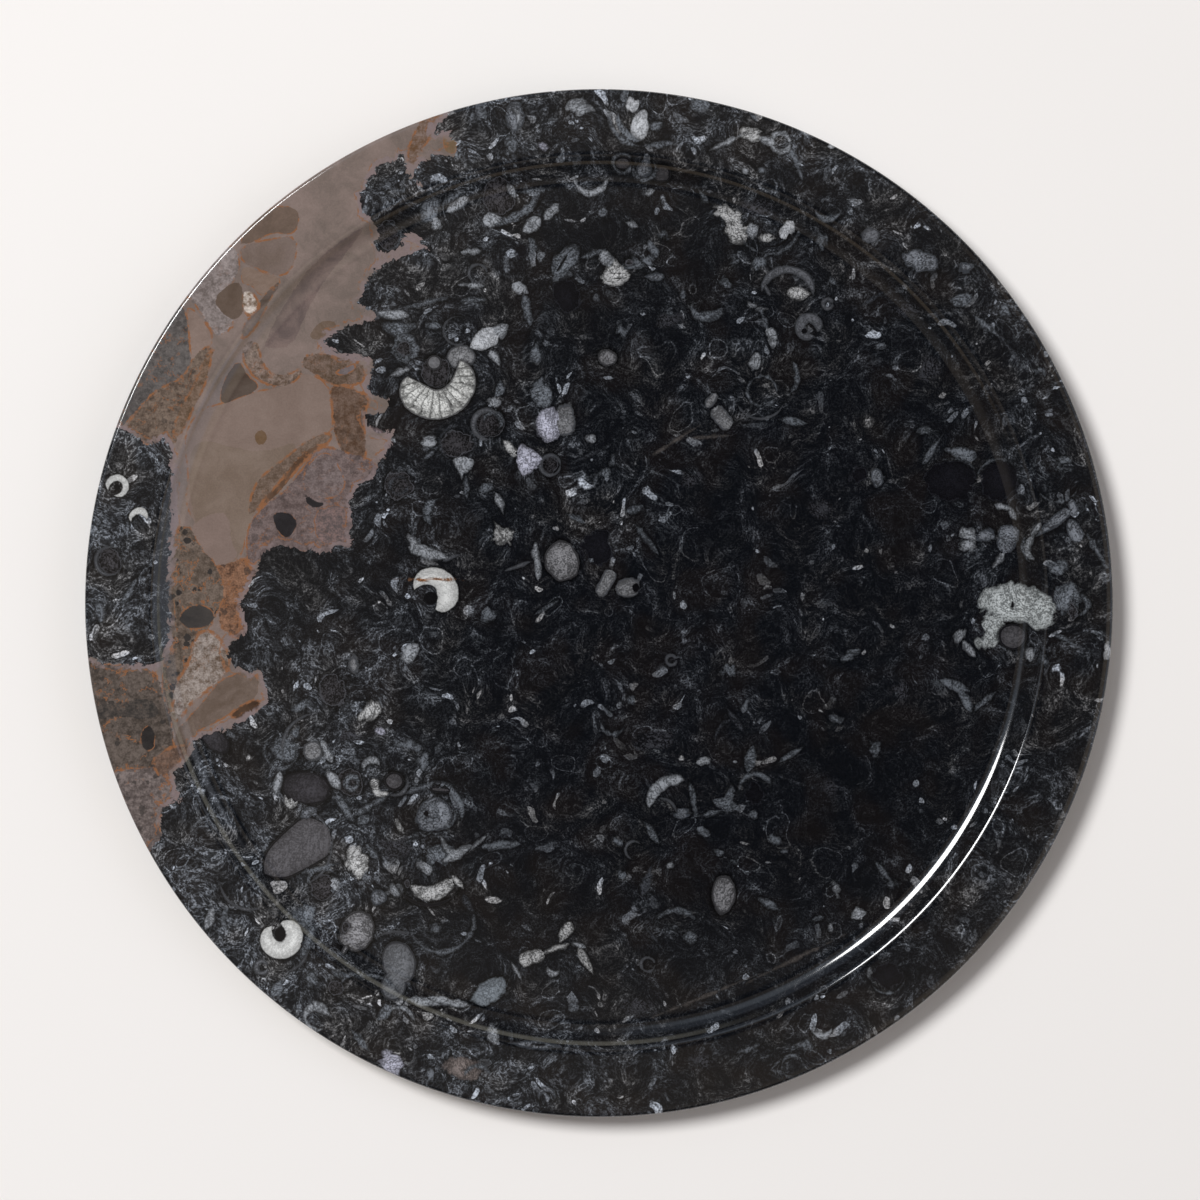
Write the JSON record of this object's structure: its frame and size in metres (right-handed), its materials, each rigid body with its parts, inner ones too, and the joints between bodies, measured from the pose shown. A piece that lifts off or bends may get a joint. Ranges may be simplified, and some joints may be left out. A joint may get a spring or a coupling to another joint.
{
  "type": "ammonite fossil plate",
  "caption": "Round dish of polished black fossil limestone with a flat rim, a smooth step and a shallow flat well, showing cut ammonite and goniatite shells and a tan vein.",
  "frame": {"origin": "centre of the foot, on the surface the plate stands on", "axes": "+Z up along the axis the plate was turned about, +X and +Y level; seen from above with +Y up, the tan vein is on the left, at -X"},
  "size_m": [0.305, 0.305, 0.014],
  "materials": {
    "fossil_limestone": "polished"
  },
  "bodies": {
    "root": {"plate": "fossil_limestone"}
  },
  "joints": []
}
